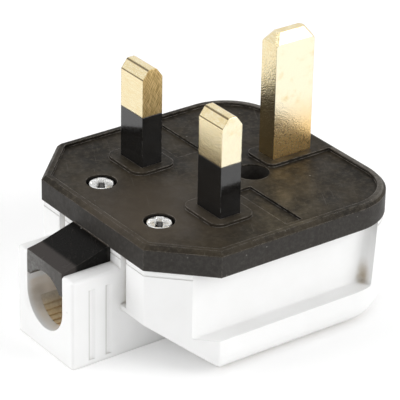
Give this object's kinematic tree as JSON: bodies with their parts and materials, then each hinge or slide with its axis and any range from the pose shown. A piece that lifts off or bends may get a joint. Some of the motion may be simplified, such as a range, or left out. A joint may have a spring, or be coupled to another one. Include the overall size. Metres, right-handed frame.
{
  "type": "uk three pin plug",
  "caption": "Rewirable British mains plug with flat brass pins on a black base, sleeved line pins, and a white cover with finger recesses and an open cable outlet.",
  "frame": {"origin": "on the back face of the cover, straight behind the midpoint between the live and neutral pins", "axes": "+Z along the pins, out of the pin face; +Y towards the earth pin; +X towards the neutral pin"},
  "size_m": [0.0478, 0.0574, 0.0461],
  "materials": {
    "base_black": "satin moulded",
    "cover_white": "semi-gloss moulded",
    "pin_brass": "bright drawn and ground",
    "sleeve_black": "glossy",
    "terminal_brass": "bright",
    "fuse_ceramic": "unglazed ceramic",
    "fuse_cap_plated": "nickel plated",
    "grip_fibre": "matt fibre",
    "screw_zinc": "bright zinc plate"
  },
  "bodies": {
    "root": {"base": "base_black", "cover": "cover_white", "outlet_liner": "grip_fibre", "earth_pin": "pin_brass", "neutral_pin": "pin_brass", "live_pin": "pin_brass", "neutral_sleeve": "sleeve_black", "live_sleeve": "sleeve_black", "live_terminal": "terminal_brass", "pin_fuse_clip": "terminal_brass", "terminal_fuse_clip": "terminal_brass", "fuse_barrel": "fuse_ceramic", "fuse_cap_pin_side": "fuse_cap_plated", "fuse_cap_terminal_side": "fuse_cap_plated", "cord_grip_bar": "grip_fibre", "cord_grip_screws": "screw_zinc", "terminal_screws": "terminal_brass", "cover_screw": "screw_zinc", "screw_retainer": "grip_fibre", "cover_insert": "terminal_brass"}
  },
  "joints": []
}
